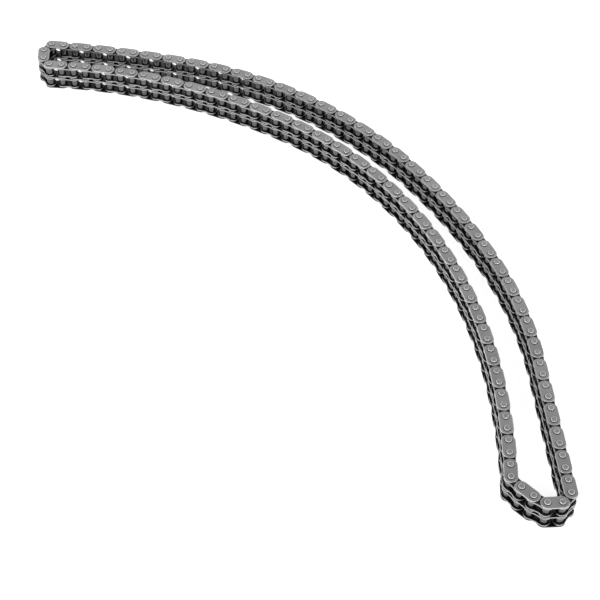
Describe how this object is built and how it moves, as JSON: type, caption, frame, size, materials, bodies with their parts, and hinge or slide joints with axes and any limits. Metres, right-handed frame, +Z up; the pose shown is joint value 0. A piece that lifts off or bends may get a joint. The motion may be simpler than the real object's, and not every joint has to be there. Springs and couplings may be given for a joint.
{
  "type": "timing chain",
  "caption": "Endless double-strand riveted roller chain for a cam drive, laid on its side as a long bent loop with two parallel runs.",
  "frame": {"origin": "centre of the bounding box at the lower rivet heads' plane, which is what the chain rests on", "axes": "+Z up along every pin, +Y away from the picture's viewer along the longer side of the laid loop, +X to the viewer's right"},
  "size_m": [0.3896, 0.4424, 0.0226],
  "materials": {
    "outer_plate": "satin",
    "inner_plate": "satin",
    "pin": "satin",
    "bush": "satin",
    "roller": "satin"
  },
  "bodies": {
    "far_turn": {"far_turn_outer_plates": "outer_plate", "far_turn_pins": "pin", "far_turn_inner_plates": "inner_plate", "far_turn_rollers": "roller"},
    "outer_arc_1": {"outer_arc_1_outer_plates": "outer_plate", "outer_arc_1_pins": "pin", "outer_arc_1_inner_plates": "inner_plate", "outer_arc_1_rollers": "roller"},
    "outer_arc_2": {"outer_arc_2_outer_plates": "outer_plate", "outer_arc_2_pins": "pin", "outer_arc_2_inner_plates": "inner_plate", "outer_arc_2_rollers": "roller"},
    "outer_arc_3": {"outer_arc_3_outer_plates": "outer_plate", "outer_arc_3_pins": "pin", "outer_arc_3_inner_plates": "inner_plate", "outer_arc_3_rollers": "roller"},
    "outer_arc_4": {"outer_arc_4_outer_plates": "outer_plate", "outer_arc_4_pins": "pin", "outer_arc_4_inner_plates": "inner_plate", "outer_arc_4_rollers": "roller"},
    "outer_arc_5": {"outer_arc_5_outer_plates": "outer_plate", "outer_arc_5_pins": "pin", "outer_arc_5_inner_plates": "inner_plate", "outer_arc_5_rollers": "roller"},
    "outer_arc_6": {"outer_arc_6_outer_plates": "outer_plate", "outer_arc_6_pins": "pin", "outer_arc_6_inner_plates": "inner_plate", "outer_arc_6_rollers": "roller"},
    "inner_arc_5": {"inner_arc_5_outer_plates": "outer_plate", "inner_arc_5_pins": "pin", "inner_arc_5_inner_plates": "inner_plate", "inner_arc_5_rollers": "roller"},
    "inner_arc_4": {"inner_arc_4_outer_plates": "outer_plate", "inner_arc_4_pins": "pin", "inner_arc_4_inner_plates": "inner_plate", "inner_arc_4_rollers": "roller"},
    "inner_arc_3": {"inner_arc_3_outer_plates": "outer_plate", "inner_arc_3_pins": "pin", "inner_arc_3_inner_plates": "inner_plate", "inner_arc_3_rollers": "roller"},
    "inner_arc_2": {"inner_arc_2_outer_plates": "outer_plate", "inner_arc_2_pins": "pin", "inner_arc_2_inner_plates": "inner_plate", "inner_arc_2_rollers": "roller"},
    "inner_arc_1": {"inner_arc_1_outer_plates": "outer_plate", "inner_arc_1_pins": "pin", "inner_arc_1_inner_plates": "inner_plate", "inner_arc_1_rollers": "roller"},
    "turn_link_2": {"turn_link_2_outer_plates": "outer_plate", "turn_link_2_pins": "pin"},
    "turn_link_4": {"turn_link_4_outer_plates": "outer_plate", "turn_link_4_pins": "pin"},
    "turn_link_1": {"turn_link_1_inner_plates": "inner_plate", "turn_link_1_bushes": "bush"},
    "turn_link_1_roller_a": {"turn_link_1_roller_a": "roller"},
    "turn_link_1_roller_b": {"turn_link_1_roller_b": "roller"},
    "turn_link_3": {"turn_link_3_inner_plates": "inner_plate", "turn_link_3_bushes": "bush"},
    "turn_link_3_roller_a": {"turn_link_3_roller_a": "roller"},
    "turn_link_3_roller_b": {"turn_link_3_roller_b": "roller"}
  },
  "joints": [
    {"name": "outer_arc_1_pivot", "type": "hinge", "parent": "far_turn", "child": "outer_arc_1", "pos_m": [-0.11899, 0.20873, 0.01129], "axis": [0, 0, 1], "range_deg": [-10, 10]},
    {"name": "outer_arc_2_pivot", "type": "hinge", "parent": "outer_arc_1", "child": "outer_arc_2", "pos_m": [-0.02702, 0.18489, 0.01129], "axis": [0, 0, 1], "range_deg": [-2.32, 2.32]},
    {"name": "outer_arc_3_pivot", "type": "hinge", "parent": "outer_arc_2", "child": "outer_arc_3", "pos_m": [0.05361, 0.13491, 0.01129], "axis": [0, 0, 1], "range_deg": [-1.28, 1.28]},
    {"name": "outer_arc_4_pivot", "type": "hinge", "parent": "outer_arc_3", "child": "outer_arc_4", "pos_m": [0.11582, 0.06319, 0.01129], "axis": [0, 0, 1], "range_deg": [-1.4, 1.4]},
    {"name": "outer_arc_5_pivot", "type": "hinge", "parent": "outer_arc_4", "child": "outer_arc_5", "pos_m": [0.15987, -0.02105, 0.01129], "axis": [0, 0, 1], "range_deg": [-4.78, 4.78]},
    {"name": "outer_arc_6_pivot", "type": "hinge", "parent": "outer_arc_5", "child": "outer_arc_6", "pos_m": [0.18036, -0.11375, 0.01129], "axis": [0, 0, 1], "range_deg": [-5.54, 5.54]},
    {"name": "turn_link_1_pivot", "type": "hinge", "parent": "outer_arc_6", "child": "turn_link_1", "pos_m": [0.19031, -0.20848, 0.01129], "axis": [0, 0, 1], "range_deg": [-29.65, 29.65]},
    {"name": "turn_link_2_pivot", "type": "hinge", "parent": "turn_link_1", "child": "turn_link_2", "pos_m": [0.18431, -0.21587, 0.01129], "axis": [0, 0, 1], "range_deg": [-4.35, 4.35]},
    {"name": "turn_link_3_pivot", "type": "hinge", "parent": "turn_link_2", "child": "turn_link_3", "pos_m": [0.17482, -0.21669, 0.01129], "axis": [0, 0, 1], "range_deg": [-12.24, 12.24]},
    {"name": "turn_link_4_pivot", "type": "hinge", "parent": "turn_link_3", "child": "turn_link_4", "pos_m": [0.16666, -0.21177, 0.01129], "axis": [0, 0, 1], "range_deg": [-2.63, 2.63]},
    {"name": "inner_arc_1_pivot", "type": "hinge", "parent": "far_turn", "child": "inner_arc_1", "pos_m": [-0.1648, 0.19051, 0.01129], "axis": [0, 0, 1], "range_deg": [-7.61, 7.61]},
    {"name": "inner_arc_2_pivot", "type": "hinge", "parent": "inner_arc_1", "child": "inner_arc_2", "pos_m": [-0.05417, 0.16361, 0.01129], "axis": [0, 0, 1], "range_deg": [-2.75, 2.75]},
    {"name": "inner_arc_3_pivot", "type": "hinge", "parent": "inner_arc_2", "child": "inner_arc_3", "pos_m": [0.04367, 0.10557, 0.01129], "axis": [0, 0, 1], "range_deg": [-3.01, 3.01]},
    {"name": "inner_arc_4_pivot", "type": "hinge", "parent": "inner_arc_3", "child": "inner_arc_4", "pos_m": [0.11231, 0.015, 0.01129], "axis": [0, 0, 1], "range_deg": [-3.61, 3.61]},
    {"name": "inner_arc_5_pivot", "type": "hinge", "parent": "inner_arc_4", "child": "inner_arc_5", "pos_m": [0.14727, -0.09338, 0.01129], "axis": [0, 0, 1], "range_deg": [-4.67, 4.67]},
    {"name": "turn_link_1_roller_a_spin", "type": "hinge", "parent": "turn_link_1", "child": "turn_link_1_roller_a", "pos_m": [0.19031, -0.20848, 0.01129], "axis": [0, 0, 1], "continuous": true},
    {"name": "turn_link_1_roller_b_spin", "type": "hinge", "parent": "turn_link_1", "child": "turn_link_1_roller_b", "pos_m": [0.18431, -0.21587, 0.01129], "axis": [0, 0, 1], "continuous": true},
    {"name": "turn_link_3_roller_a_spin", "type": "hinge", "parent": "turn_link_3", "child": "turn_link_3_roller_a", "pos_m": [0.17482, -0.21669, 0.01129], "axis": [0, 0, 1], "continuous": true},
    {"name": "turn_link_3_roller_b_spin", "type": "hinge", "parent": "turn_link_3", "child": "turn_link_3_roller_b", "pos_m": [0.16666, -0.21177, 0.01129], "axis": [0, 0, 1], "continuous": true}
  ],
  "couplings": [
    {"joint": "outer_arc_2_pivot", "follows": "outer_arc_1_pivot", "ratio": 0.23033},
    {"joint": "outer_arc_3_pivot", "follows": "outer_arc_1_pivot", "ratio": -0.12604},
    {"joint": "outer_arc_4_pivot", "follows": "outer_arc_1_pivot", "ratio": 0.13855},
    {"joint": "outer_arc_5_pivot", "follows": "outer_arc_1_pivot", "ratio": 0.47623},
    {"joint": "outer_arc_6_pivot", "follows": "outer_arc_1_pivot", "ratio": 0.55295},
    {"joint": "turn_link_1_pivot", "follows": "outer_arc_1_pivot", "ratio": -2.9633},
    {"joint": "turn_link_2_pivot", "follows": "outer_arc_1_pivot", "ratio": 0.43394},
    {"joint": "turn_link_3_pivot", "follows": "outer_arc_1_pivot", "ratio": 1.2229},
    {"joint": "turn_link_4_pivot", "follows": "outer_arc_1_pivot", "ratio": 0.26192},
    {"joint": "inner_arc_1_pivot", "follows": "outer_arc_1_pivot", "ratio": 0.75973},
    {"joint": "inner_arc_2_pivot", "follows": "outer_arc_1_pivot", "ratio": 0.27343},
    {"joint": "inner_arc_3_pivot", "follows": "outer_arc_1_pivot", "ratio": 0.29953},
    {"joint": "inner_arc_4_pivot", "follows": "outer_arc_1_pivot", "ratio": 0.35913},
    {"joint": "inner_arc_5_pivot", "follows": "outer_arc_1_pivot", "ratio": 0.46556}
  ]
}
